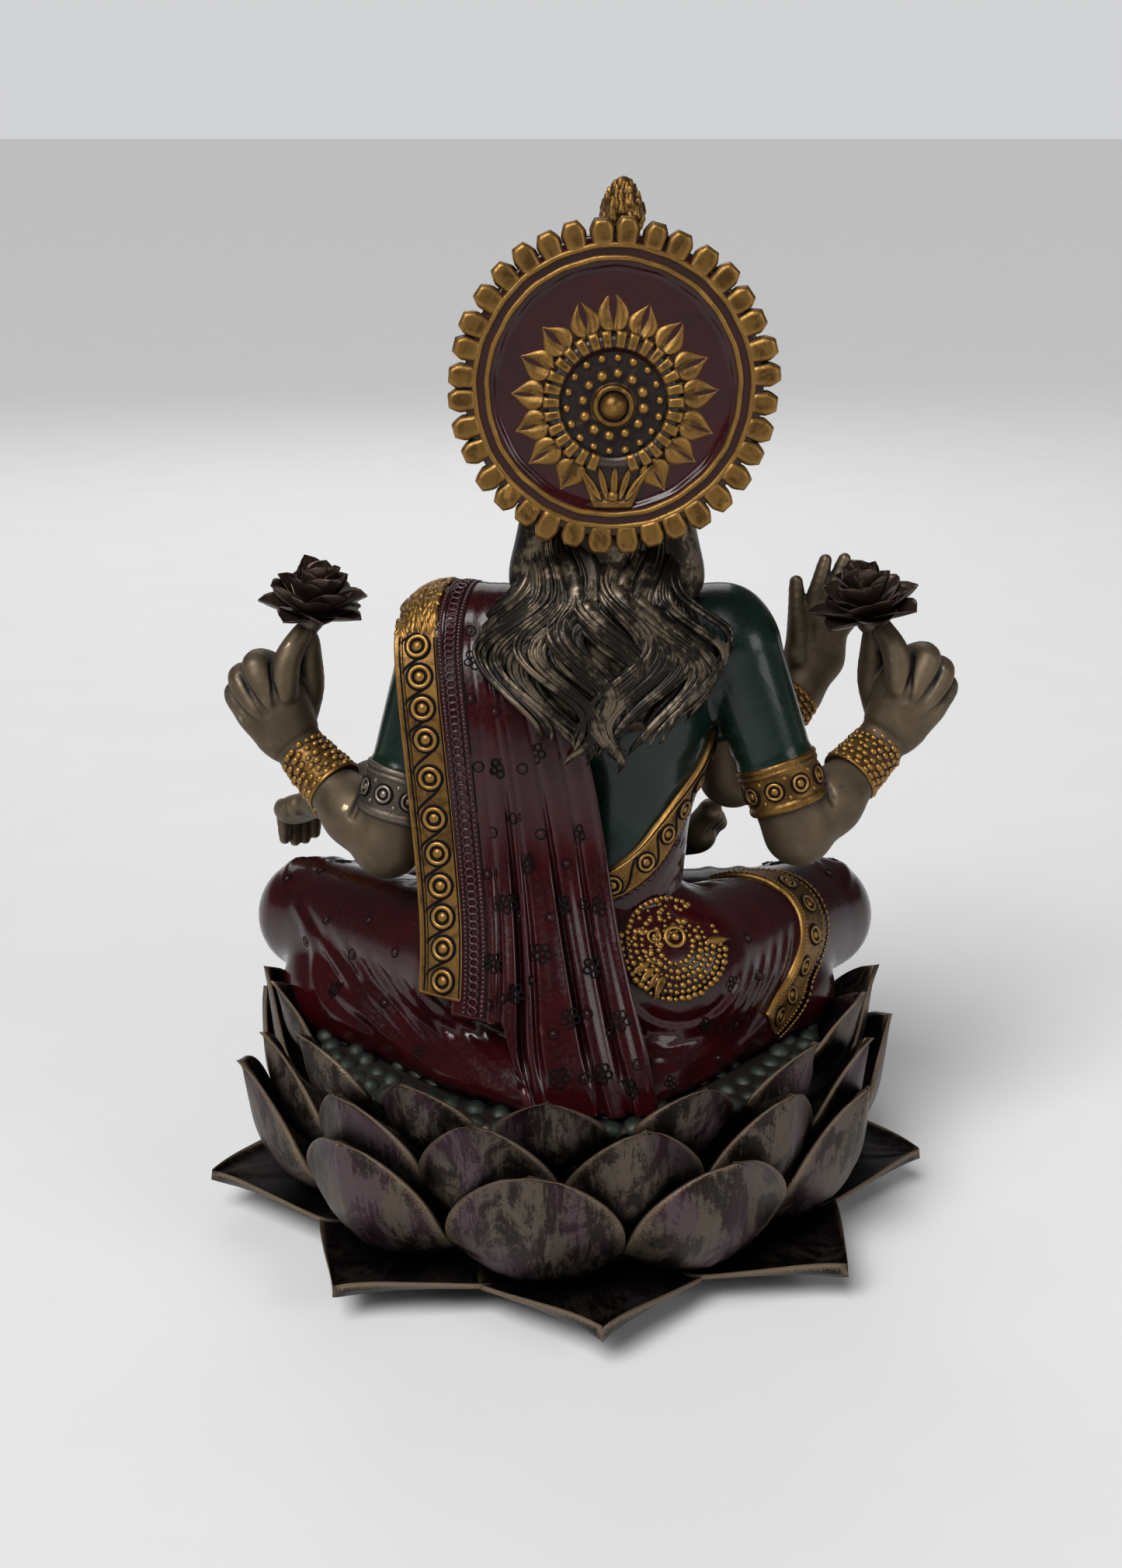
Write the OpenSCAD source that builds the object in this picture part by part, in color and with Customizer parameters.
// Seated four-armed deity statuette on a lotus throne, cast in resin pieces that are pinned together.
// Millimetres. +Z is up, the origin is the middle of the felt pad's underside, and the figure faces -Y.
// The figure's left side is on +X.

/* [Lotus throne] */
// Radius over the tips of the flat outer petals
throne_r = 62.5; // [58:0.5:68]
// Height of the flat top of the seed pod, which carries the figure
pod_top = 30; // [29:0.5:31]
// Radius of the seed pod
pod_r = 43; // [42:0.5:44]
// Thickness of the felt pad under the throne
felt_t = 1.2; // [0.8:0.1:2]
// Petals in the flat outer ring
outer_count = 9; // [8:1:10]
// Petals in the lower ring
lower_count = 11; // [9:1:12]
// Petals in the middle ring
middle_count = 13; // [11:1:14]
// Petals in the inner ring
inner_count = 13; // [11:1:15]

/* [Halo] */
// Radius of the halo over its rim of scallops
halo_r = 24.2; // [22:0.1:25]
// Thickness of the halo's plain disc
halo_t = 3; // [2.4:0.1:3.4]
// Scallops round the rim
scallop_count = 40; // [30:1:44]
// Petals in the rosette's outer ring
rosette_count = 18; // [14:1:20]

/* [Arms] */
// Radius of the upper arm where its sleeve ends
sleeve_r = 6; // [5.4:0.1:6.4]
// Radius of the wrist
wrist_r = 3.9; // [3.5:0.1:4.2]
// Thickness of the armband and bracelet rings
jewel_t = 0.9; // [0.6:0.1:1.2]
// Radius of the steel pins inside the glued joints
pin_r = 1; // [0.8:0.1:1.2]

/* [Hidden] */
$fn = 48;
soft_fn = 18;     // facets of the spheres inside a hull
gap = 0.15;       // glue line round a pin
plinth_r = 39;
seat = pod_top;
eps = 0.01;

// Body points, as [x, y, z]
hip_left = [15, 12, seat + 13.5];
hip_right = [-19, 12, seat + 13.5];
knee_left = [45.5, -20, seat + 10];
knee_right = [-44.5, -20, seat + 10];
ankle_left = [-9, -25, seat + 15];
ankle_right = [8, -29, seat + 11];
waist = [-1.5, 9, seat + 31];
chest = [-3.3, 6.5, seat + 55];
neck_foot = [-4, 6.5, seat + 71];
neck_top = [-5.5, 5, seat + 84];
head_c = [-6, 3.5, seat + 98.5];
crown_foot = [-6.3, 4.5, seat + 107.5];
crown_top = [-8, 7.5, seat + 131];
finial_top = [-8.3, 8, 168.4];
halo_c = [-6.6, 19.5, 139];

// Rear arms and front arms, each from the shoulder to the elbow, the wrist and the knuckles
rear_left = [[20, 7.5, 96], [29, 13, 66], [43.4, 1, 77.4], [49, -0.5, 88.5]];
rear_right = [[-27, 7.5, 96.5], [-37, 13, 68.2], [-51, 1, 78.6], [-56.5, -0.5, 89.5]];
front_left = [[16, -1, 95], [27, -5, 70.5], [43.2, -25, 60.5], [49.5, -33.5, 56]];
front_right = [[-23, -1, 95.5], [-27.5, -2, 73], [-39.2, -11.5, 84], [-42, -13.5, 93]];

flower_left = [41, -1, 101.2];
flower_right = [-48.5, -1, 101.2];

function mix(a, b, t) = a + (b - a) * t;
function length3(v) = sqrt(v[0] * v[0] + v[1] * v[1] + v[2] * v[2]);

// Distance on the plan from point p to the line from a to b
function off_line(p, a, b) = let (d = [b[0] - a[0], b[1] - a[1]], w = [p[0] - a[0], p[1] - a[1]],
    t = max(0, min(1, (w * d) / (d * d)))) norm(w - t * d);

function off_legs(p) = min(off_line(p, hip_left, knee_left), off_line(p, hip_right, knee_right),
    off_line(p, knee_left, ankle_left), off_line(p, knee_right, ankle_right));

// Turns +Z onto the line from a to b and moves the origin to a
module along(a, b) {
    d = b - a;
    translate(a)
        rotate([0, acos(d[2] / length3(d)), atan2(d[1], d[0])])
            children();
}

module rod(a, b, ra, rb) {
    along(a, b) cylinder(h = length3(b - a), r1 = ra, r2 = rb);
}

module ball(p, r, facets = soft_fn) {
    translate(p) sphere(r = r, $fn = facets);
}

module link(a, b, ra, rb, facets = soft_fn) {
    hull() {
        ball(a, ra, facets);
        ball(b, rb, facets);
    }
}

// ---- Lotus throne ----

module felt_pad() {
    color("black") cylinder(h = felt_t, r = plinth_r - 3);
}

// The solid middle of the throne, which the petals grow from
module throne_core(from, to) {
    intersection() {
        rotate_extrude() polygon([[0, felt_t], [plinth_r, felt_t], [plinth_r, 22], [pod_r, pod_top - 1.5],
            [pod_r, pod_top - 0.4], [pod_r - 0.6, pod_top], [0, pod_top]]);
        translate([0, 0, from]) cylinder(h = to - from, r = pod_r + 5);
    }
}

module base_plinth() {
    color("dimgray") difference() {
        throne_core(0, 22);
        translate([0, 12, 16]) cylinder(h = 20, r = pin_r * 3);
    }
}

module seed_pod() {
    color("darkslategray") difference() {
        throne_core(22, pod_top + 1);
        translate([0, 12, 16]) cylinder(h = 20, r = pin_r * 3);
    }
}

// Half the width of a petal at share t of its length: a blunt root, the widest place near the middle and
// a tip that is the sharper the lower swell is
function petal_half(t, wide, swell) = t < 0.42 ? wide / 2 * (1 - 0.45 * pow((0.42 - t) / 0.42, 2))
    : wide / 2 * pow(max(0, 1 - pow((t - 0.42) / 0.58, swell)), 0.85);

module petal_outline(long, wide, swell) {
    steps = 9;
    polygon(concat([for (k = [0 : steps - 1]) [long * k / steps, petal_half(k / steps, wide, swell)]],
        [[long, 0]],
        [for (k = [steps - 1 : -1 : 0]) [long * k / steps, -petal_half(k / steps, wide, swell)]]));
}

// A cupped petal is a piece of a ball's shell, with its root at radius r0 and height z0 and its tip at
// radius r1 and height z1
module petal(r0, z0, r1, z1, wide, thick, bend, swell) {
    long = sqrt(pow(r1 - r0, 2) + pow(z1 - z0, 2));
    rise = sqrt(bend * bend - long * long / 4);
    translate([r0, 0, z0]) rotate([0, -atan2(z1 - z0, r1 - r0), 0]) intersection() {
        translate([long / 2, 0, rise]) difference() {
            sphere(r = bend);
            sphere(r = bend - thick);
        }
        translate([0, 0, rise - bend - 1]) linear_extrude(bend + 1) petal_outline(long, wide, swell);
    }
}

// A ring of petals; turn is the angle of the first one from +Y towards -X. A petal whose tip would come
// closer to a leg than room is left out.
module petal_ring(count, turn, r0, z0, r1, z1, wide, thick, bend, swell, room) {
    color("rosybrown") difference() {
        for (k = [0 : count - 1]) {
            at = 90 + turn + k * 360 / count;
            if (off_legs([r1 * cos(at), r1 * sin(at)]) > room)
                rotate([0, 0, at]) petal(r0, z0, r1, z1, wide, thick, bend, swell);
        }
        throne_core(0, pod_top);
    }
}

module outer_petals() {
    petal_ring(outer_count, 4.7, 37.5, 4.6, throne_r, 5.4, 29, 2, 42, 1.45, 0);
}

module lower_petals() {
    petal_ring(lower_count, -5.9, 37.5, 7.8, throne_r - 5.5, 28, 25, 1.5, 20, 2.1, 0);
}

module middle_petals() {
    petal_ring(middle_count, 9.7, 38, 18.5, throne_r - 9, 35.5, 20, 1.2, 17, 1.9, 12.5);
}

module inner_petals() {
    petal_ring(inner_count, -2.6, 41, 26.5, throne_r - 13, 38.5, 15, 1, 12, 1.9, 17);
}

// Seeds stand on the pod's flat top in rings, as half balls, where the legs leave it free
module pod_seeds() {
    color("darkseagreen") difference() {
        for (ring = [[pod_r - 2.3, 52, 0], [pod_r - 5.7, 46, 2]], k = [0 : ring[1] - 1]) {
            turn = k * 360 / ring[1] + ring[2];
            seed = [ring[0] * cos(turn), ring[0] * sin(turn)];
            if (off_legs(seed) > 7.6 && (seed[1] > 0 || abs(seed[0]) > 31))
                translate([seed[0], seed[1], pod_top]) sphere(r = 1.65, $fn = 16);
        }
        translate([0, 0, pod_top - 10]) cylinder(h = 10, r = pod_r + 5);
    }
}

module seat_dowel() {
    color("silver") translate([0, 12, 16]) cylinder(h = 20, r = pin_r * 3 - gap);
}

// ---- Body ----

module seat_slab(p, r) {
    translate([p[0], p[1], seat]) cylinder(h = 2, r = r, $fn = soft_fn);
}

module lower_mass() {
    hull() {
        ball(hip_left, 13.2);
        ball(hip_right, 13.2);
        ball([-2, 17, seat + 13.4], 12);
        ball(waist - [0, 0, 6], 13);
        seat_slab(hip_left, 9);
        seat_slab(hip_right, 9);
        seat_slab([-2, 21, 0], 10);
    }
    link(hip_left, knee_left, 13, 9.8);
    link(hip_right, knee_right, 13, 9.8);
    link(knee_left, ankle_left, 9.2, 6);
    link(knee_right, ankle_right, 9.2, 6);
    // the skirt's cloth fills the lap between the thighs and the shins
    hull() {
        for (side = [-1, 1]) {
            ball([side * 33, -17, seat + 8], 6);
            seat_slab([side * 30, -17, 0], 6);
        }
        ball([0, -22, seat + 11], 5.5);
        ball([0, 0, seat + 11], 6);
    }
    // and is spread over the seat in front of the shins
    hull() {
        for (side = [-1, 1]) {
            ball([side * 20, -26, seat + 7], 4);
            seat_slab([side * 22, -24, 0], 7);
            seat_slab([side * 9, -33, 0], 6);
        }
        ball([0, -28, seat + 9], 5);
        seat_slab([0, 8, 0], 12);
    }
}

module lower_body() {
    color("maroon") difference() {
        lower_mass();
        translate([0, 12, seat - eps]) cylinder(h = 6, r = pin_r * 3, $fn = 24);
    }
}

// A sole-up foot that lies on the opposite thigh, with its toes outwards
module foot(heel, toe) {
    color("tan") difference() {
        union() {
            link(heel, toe, 4, 3.4, 12);
            for (k = [0 : 3])
                link(toe + [0, -3 + k * 2.2, 0.6],
                    toe + [(toe[0] - heel[0]) * 0.28, -3 + k * 2.2, 2.6 - k * 0.5], 1.5, 1.3, 8);
        }
        lower_mass();
    }
}

module left_foot() {
    foot([-6, -23, seat + 20.5], [-20, -18, seat + 24]);
}

module right_foot() {
    foot([6, -24, seat + 18.5], [19, -18.5, seat + 22.5]);
}

// The trunk, grown by skin all round
module torso_mass(skin = 0, facets = soft_fn) {
    hull() {
        ball(waist + [5, 0, 0], 10 + skin, facets);
        ball(waist - [5, 0, 0], 10 + skin, facets);
        ball(chest + [7.5, 0, 0], 11.6 + skin, facets);
        ball(chest - [7.5, 0, 0], 11.6 + skin, facets);
    }
    hull() {
        ball(chest + [7.5, 0, 0], 11.6 + skin, facets);
        ball(chest - [7.5, 0, 0], 11.6 + skin, facets);
        ball([18, 4.5, 97.5], 7.8 + skin, facets);
        ball([-24.5, 4.5, 98], 7.8 + skin, facets);
        ball(neck_foot, 6.6 + skin, facets);
    }
    ball([4.5, -5.5, seat + 53], 7.2 + skin, facets);
    ball([-11, -5.5, seat + 53], 7.2 + skin, facets);
}

module torso() {
    color("darkgreen") difference() {
        torso_mass();
        lower_mass();
        rod(neck_foot - [0, 0, 4], neck_top, pin_r * 1.5, pin_r * 1.5);
    }
}

// A slab that leans with the sari's upper edge, low at the back and high in front
module edge_slab(from, to) {
    translate([-3.8, 6, 76]) rotate([-47, 0, 0]) rotate([0, 13, 0])
        translate([-40, -40, from]) cube([80, 80, to - from]);
}

// The sari wound round the waist and brought up over the chest
module sari_wrap() {
    color("maroon") difference() {
        intersection() {
            torso_mass(0.9, 14);
            edge_slab(-60, -2.2);
            translate([-40, -40, seat + 20]) cube([80, 80, 70]);
        }
        torso_mass();
        lower_mass();
        drape_mass();
        border_mass();
        sleeves_mass();
    }
}

module wrap_border() {
    color("goldenrod") difference() {
        intersection() {
            torso_mass(1.3, 14);
            edge_slab(-2.2, 2.4);
        }
        torso_mass();
        lower_mass();
        drape_mass();
        border_mass();
        sleeves_mass();
    }
}

module hip_medallion() {
    color("goldenrod") difference() {
        along([-15, 18, seat + 19], [-18, 27.6, seat + 24]) cylinder(h = 11.6, r = 6.5);
        lower_mass();
        torso_mass(1.4, 14);
        drape_mass();
    }
}

// The end of the sari, from the left shoulder down the back to the seat, as stacked cross bars:
// each has its height, the x of its two ends, its y and its depth
drape_bars = [[103, 8, 23, 5, 9], [98, 4, 27, 10, 9], [84, -3, 25, 14, 9], [64, -6, 22, 17, 8],
    [48, -9, 23.5, 22, 9], [38.5, -9, 25, 24, 9.5]];

module drape_bar(bar) {
    translate([bar[1], bar[3], bar[0] - 1]) cube([bar[2] - bar[1], bar[4] - 3, 2]);
    translate([bar[1] + 2, bar[3], bar[0] - 1]) cube([bar[2] - bar[1] - 4, bar[4], 2]);
}

module drape_mass() {
    for (k = [0 : len(drape_bars) - 2])
        hull() {
            drape_bar(drape_bars[k]);
            drape_bar(drape_bars[k + 1]);
        }
}

module border_mass() {
    for (k = [1 : len(drape_bars) - 2])
        hull()
            for (bar = [drape_bars[k], drape_bars[k + 1]])
                translate([bar[2] - 5, bar[3] - 4, bar[0] - 1]) cube([6, bar[4] + 2, 2]);
}

module sari_drape() {
    color("maroon") difference() {
        drape_mass();
        lower_mass();
        torso_mass();
        border_mass();
    }
}

module drape_border() {
    color("goldenrod") difference() {
        border_mass();
        lower_mass();
        torso_mass();
        rod(rear_left[0], rear_left[1], sleeve_r + 1.5, sleeve_r + 0.2);
    }
}

module neck_dowel() {
    color("silver") rod(neck_foot - [0, 0, 4], neck_top, pin_r * 1.5 - gap, pin_r * 1.5 - gap);
}

// ---- Head, hair and crown ----

module head_mass() {
    hull() {
        ball(head_c + [0, 0.5, 3.6], 9.8, 16);
        for (side = [-1, 1]) ball(head_c + [side * 2.6, -2.2, -4.6], 6, 14);
        ball(head_c + [0, -5, -11.2], 3, 12);
    }
    link(neck_foot + [0, 0, 3], neck_top + [0, 0, 4], 6, 5.4, 16);
}

// Nose, closed eyes and lips stand a little off the face
module face_mass() {
    link(head_c + [0, -8.6, 1], head_c + [0, -9.9, -3.4], 0.7, 1.3, 8);
    for (side = [-1, 1]) link(head_c + [side * 2.4, -8, 0.2], head_c + [side * 5, -6.9, 0.5], 1.3, 0.9, 8);
    link(head_c + [-1.6, -8.1, -6.9], head_c + [1.6, -8.1, -6.9], 0.8, 0.8, 8);
}

module head() {
    color("tan") difference() {
        union() {
            head_mass();
            face_mass();
        }
        torso_mass();
        rod(neck_foot - [0, 0, 4], neck_top, pin_r * 1.5, pin_r * 1.5);
        rod(halo_c - [0, 14, 8], halo_c - [0, -1, 8], pin_r, pin_r);
    }
}

module hair_mass() {
    hull() {
        ball(head_c + [0, 3.4, 2.5], 10.6, 14);
        ball([-5.5, 10, seat + 84], 9, 14);
    }
    hull() {
        ball([-0.5, 11, seat + 83], 8, 14);
        ball([-11, 11, seat + 83], 8, 14);
        ball([6.5, 15, seat + 70], 7.5, 14);
        ball([-16, 15, seat + 70], 7.5, 14);
    }
    hull() {
        ball([6.5, 15, seat + 70], 7.5, 14);
        ball([-16, 15, seat + 70], 7.5, 14);
        ball([-5, 20, seat + 57], 4.4, 12);
        ball([5, 20, seat + 60], 4, 12);
        ball([-17, 18, seat + 61], 4.4, 12);
    }
}

module hair() {
    color("dimgray") difference() {
        hair_mass();
        head_mass();
        torso_mass();
        drape_mass();
        sleeves_mass();
        along(crown_foot, crown_top) cylinder(h = 30, r = 13);
        translate(halo_c - [0, 2.5, 0]) rotate([-90, 0, 0]) cylinder(h = 20, r = halo_r + 1);
        rod(halo_c - [0, 14, 8], halo_c - [0, -1, 8], pin_r, pin_r);
    }
}

module crown() {
    color("goldenrod") difference() {
        along(crown_foot, crown_top) rotate_extrude() polygon([[0, 0], [11, 0], [11.4, 1.5], [10.6, 3.5],
            [9.6, 5], [9, 11], [7.2, 15], [5.2, 18], [4.4, 20.5], [3, 22], [0, 23.7]]);
        head_mass();
        translate(halo_c - [0, 2.5, 0]) rotate([-90, 0, 0]) cylinder(h = 20, r = halo_r + 1);
    }
}

module crown_finial() {
    color("goldenrod") difference() {
        along(crown_top, finial_top) rotate_extrude() polygon([[0, 0.2], [2.2, 0.2], [3.3, 2.2], [3.1, 3.8],
            [1.7, 6], [0.5, 7.4], [0, 7.4]]);
        crown();
    }
}

module earrings() {
    color("goldenrod") difference() {
        for (side = [-1, 1]) translate(head_c + [side * 9.9, 0, -7]) {
            sphere(r = 2, $fn = 24);
            translate([0, 0, -2.6]) sphere(r = 1.2, $fn = 24);
        }
        hair_mass();
        head_mass();
    }
}

module necklace() {
    color("goldenrod") difference() {
        translate([-3.8, 0.5, seat + 67]) rotate([38, 0, 0])
            rotate_extrude($fn = 24) translate([9.4, 0]) circle(r = 1.3, $fn = 8);
        hair_mass();
        drape_mass();
        torso_mass(0, 18);
        head_mass();
    }
}

// ---- Halo ----

// Moves to the halo's back face and turns +Z to +Y, with the top of the drawing upwards
module on_halo(lift = 0) {
    translate(halo_c + [0, lift, 0]) rotate([-90, 0, 0]) rotate([0, 0, 180]) children();
}

module halo_disc() {
    color("maroon") difference() {
        on_halo(-2.5) rotate_extrude() polygon([[0, 0], [halo_r - 3.4, 0], [halo_r - 3.4, halo_t + 0.6],
            [halo_r - 4.4, halo_t + 1.2], [halo_r - 5.4, halo_t + 0.6], [halo_r - 6.4, halo_t + 0.9],
            [halo_r - 7, halo_t - 0.6], [0, halo_t - 0.6]]);
        rod(halo_c - [0, 14, 8], halo_c - [0, 1.2, 8], pin_r, pin_r);
    }
}

module halo_scallops() {
    color("goldenrod") difference() {
        union() {
            on_halo(-2.2) cylinder(h = halo_t - 0.6, r = halo_r - 1.4);
            for (k = [0 : scallop_count - 1])
                on_halo(-2.2) rotate([0, 0, k * 360 / scallop_count])
                    translate([0, halo_r - 1.7, 0]) cylinder(h = halo_t + 0.2, r = 1.7, $fn = 16);
        }
        on_halo(-5) cylinder(h = 10, r = halo_r - 3.4);
    }
}

rosette_face = halo_t - 3.1;    // where the halo's sunk face lies behind halo_c

module halo_rosette() {
    color("goldenrod") {
        for (k = [0 : rosette_count - 1])
            on_halo(rosette_face) rotate([0, 0, k * 360 / rosette_count])
                translate([0, 9.3, 0]) linear_extrude(1.3)
                    polygon([[-1.1, 0], [-1.6, 2.2], [0, 4.6], [1.6, 2.2], [1.1, 0]]);
        on_halo(rosette_face) difference() {
            cylinder(h = 1.9, r = 9.1);
            translate([0, 0, -1]) cylinder(h = 5, r = 7.4);
        }
    }
}

module halo_boss() {
    color("goldenrod") {
        on_halo(rosette_face) rotate_extrude() polygon([[0, 0], [2.8, 0], [2.8, 0.7], [2.2, 1], [2, 2],
            [1.2, 2.9], [0, 3.2]]);
        for (ring = [[4.3, 12], [6.3, 20]], k = [0 : ring[1] - 1])
            on_halo(rosette_face) rotate([0, 0, k * 360 / ring[1]])
                translate([ring[0], 0, 0]) cylinder(h = 1.1, r1 = 0.7, r2 = 0.35, $fn = 16);
    }
}

module halo_crest() {
    color("goldenrod") difference() {
        for (k = [-2 : 2])
            on_halo(rosette_face) translate([0, -15.2, 0]) rotate([0, 0, k * 22])
                linear_extrude(1.5) polygon([[-0.5, 0], [-0.9, 3.6], [0, 6], [0.9, 3.6], [0.5, 0]]);
        on_halo(-3) cylinder(h = 8, r = 9.2);
        for (k = [-8 : 8])
            on_halo(rosette_face - 0.1) rotate([0, 0, k * 360 / rosette_count])
                translate([0, 9.3, 0]) linear_extrude(3)
                    polygon([[-1.1, 0], [-1.6, 2.2], [0, 4.6], [1.6, 2.2], [1.1, 0]]);
    }
}

module halo_pin() {
    color("silver") rod(halo_c - [0, 14, 8], halo_c - [0, 1.3, 8], pin_r - gap, pin_r - gap);
}

// ---- Arms ----

// Where the armband and the bracelet lie, as shares of the upper arm and of the forearm
band_from = 0.62;
band_to = 0.82;
cuff_from = 0.7;
cuff_to = 1;
elbow_r = 5.6;

module sleeve(arm, band_share) {
    color("darkgreen") difference() {
        sleeve_mass(arm, band_share);
        torso_mass();
        rod(arm[0], mix(arm[0], arm[1], 0.3), pin_r, pin_r);
        children();
    }
}

module sleeve_mass(arm, band_share) {
    rod(arm[0], mix(arm[0], arm[1], band_share), sleeve_r + 1, sleeve_r);
    ball(arm[0], sleeve_r + 1.05, 32);
}

module sleeves_mass() {
    for (arm = [rear_left, rear_right, front_left, front_right]) sleeve_mass(arm, band_from);
}

module forearm(arm, band_share) {
    color("tan") union() {
        rod(mix(arm[0], arm[1], band_share), arm[1], sleeve_r, elbow_r);
        translate(arm[1]) sphere(r = elbow_r + 0.12);
        rod(arm[1], arm[2], elbow_r - 0.3, wrist_r);
    }
}

// The armband fits round the bare arm below the sleeve
module armband(arm) {
    bare = length3(arm[1] - arm[0]) * (1 - band_from);
    band = length3(arm[1] - arm[0]) * (band_to - band_from);
    color("goldenrod") along(mix(arm[0], arm[1], band_from), arm[1]) difference() {
        cylinder(h = band, r = sleeve_r + jewel_t);
        cylinder(h = bare, r1 = sleeve_r, r2 = elbow_r);
    }
}

module bracelet(arm) {
    r_cuff = mix(elbow_r - 0.3, wrist_r, cuff_from);
    long = length3(arm[2] - arm[1]) * (cuff_to - cuff_from);
    color("goldenrod") along(mix(arm[1], arm[2], cuff_from), arm[2]) difference() {
        cylinder(h = long, r1 = r_cuff + jewel_t, r2 = wrist_r + jewel_t);
        translate([0, 0, -eps]) cylinder(h = long + 2 * eps, r1 = r_cuff, r2 = wrist_r);
    }
}

// A closed hand that holds a flower stem between its raised forefinger and its thumb
module holding_hand(arm, flower) {
    color("tan") difference() {
        union() {
            hull() {
                ball(mix(arm[2], arm[3], 0.3), wrist_r, 14);
                ball(arm[3] + [0, 0, 0], 4.7, 14);
                ball(arm[3] + [0, -4, -2], 3.6, 14);
            }
            link(arm[3] + [0, -1.5, 2.5], mix(arm[3], flower, 0.62) + [0, 0, 0.5], 2.1, 1.7, 12);
            link(mix(arm[2], arm[3], 0.5), mix(arm[3], flower, 0.35) - [0, 2, 2], 2.1, 1.6, 12);
        }
        rod(arm[1], arm[2], elbow_r, wrist_r + jewel_t);
    }
}

// A raised open hand, its palm forwards
module open_hand(arm) {
    tips = [[-38.6, -14, 103], [-43.2, -14.4, 106.6], [-46.4, -14.4, 106.8], [-48.8, -14, 104.4],
        [-50, -13, 100.6]];
    color("tan") difference() {
        union() {
            hull() {
                ball(mix(arm[2], arm[3], 0.3), 3.7, 14);
                ball(arm[3] + [2, 0, 1], 2.8, 14);
                ball(arm[3] + [-4, 0, 1], 2.6, 14);
            }
            link(arm[3] + [2.8, 0, -1], tips[0], 1.6, 1.1, 10);
            for (k = [1 : 4])
                link(arm[3] + [2.6 - k * 1.9, 0, 2.4 - k * 0.4], tips[k], 1.5, 1.05, 10);
        }
        rod(arm[1], arm[2], elbow_r, wrist_r + jewel_t);
    }
}

// A hand that rests on the knee with its fingers hanging over it
module resting_hand(arm) {
    color("tan") difference() {
        union() {
            hull() {
                ball(mix(arm[2], arm[3], 0.3), wrist_r, 14);
                ball(arm[3] + [2.5, 0, 0], 2.6, 14);
                ball(arm[3] + [-2.5, 0, 0], 2.6, 14);
            }
            for (k = [0 : 3])
                link(arm[3] + [-3 + k * 2, -0.5, 0], arm[3] + [-3.4 + k * 2.2, -7, -7.5 + k * 0.3],
                    1.4, 1.1, 10);
            link(mix(arm[2], arm[3], 0.5) + [-2, 0, 0], arm[3] + [-6.5, -3, -2], 1.6, 1.2, 10);
        }
        rod(arm[1], arm[2], elbow_r, wrist_r + jewel_t);
        lower_mass();
    }
}

// An open lotus with flat pointed petals in three rings; lean tips it over
module lotus(p, lean) {
    color("rosybrown") difference() {
        translate(p) rotate(lean) {
            for (ring = [[7, 8, -8, 0], [7, 7.4, 22, 26], [5, 6.2, 50, 0]], k = [0 : ring[0] - 1])
                rotate([0, 0, ring[3] + k * 360 / ring[0]]) rotate([0, -ring[2], 0]) translate([0.6, 0, -1.5])
                    linear_extrude(0.8) polygon([[0, -0.8], [ring[1] * 0.55, -2.1], [ring[1], 0],
                        [ring[1] * 0.55, 2.1], [0, 0.8]]);
            translate([0, 0, -3.2]) cylinder(h = 4.4, r = 2, $fn = 16);
        }
        children();
    }
}

module shoulder_pins() {
    color("silver") for (arm = [rear_left, rear_right, front_left, front_right])
        rod(mix(arm[0], arm[1], 0.08), mix(arm[0], arm[1], 0.3), pin_r - gap, pin_r - gap);
}

felt_pad();
base_plinth();
outer_petals();
lower_petals();
middle_petals();
inner_petals();
seed_pod();
pod_seeds();
seat_dowel();
lower_body();
left_foot();
right_foot();
torso();
sari_wrap();
wrap_border();
hip_medallion();
sari_drape();
drape_border();
neck_dowel();
head();
hair();
crown();
crown_finial();
earrings();
necklace();
halo_disc();
halo_scallops();
halo_rosette();
halo_boss();
halo_crest();
halo_pin();
sleeve(rear_left, band_from);  // rear_left_sleeve
forearm(rear_left, band_from);  // rear_left_forearm
armband(rear_left);  // rear_left_armband
bracelet(rear_left);  // rear_left_bracelet
holding_hand(rear_left, flower_left);  // rear_left_hand
lotus(flower_left, [0, -14, 0]) holding_hand(rear_left, flower_left);  // rear_left_lotus
sleeve(rear_right, band_from);  // rear_right_sleeve
forearm(rear_right, band_from);  // rear_right_forearm
armband(rear_right);  // rear_right_armband
bracelet(rear_right);  // rear_right_bracelet
holding_hand(rear_right, flower_right);  // rear_right_hand
lotus(flower_right, [0, 14, 0]) holding_hand(rear_right, flower_right);  // rear_right_lotus
sleeve(front_left, band_from) sleeve_mass(rear_left, band_from);  // front_left_sleeve
forearm(front_left, band_from);  // front_left_forearm
bracelet(front_left);  // front_left_bracelet
resting_hand(front_left);  // front_left_hand
sleeve(front_right, band_from) sleeve_mass(rear_right, band_from);  // front_right_sleeve
forearm(front_right, band_from);  // front_right_forearm
bracelet(front_right);  // front_right_bracelet
open_hand(front_right);  // front_right_hand
shoulder_pins();
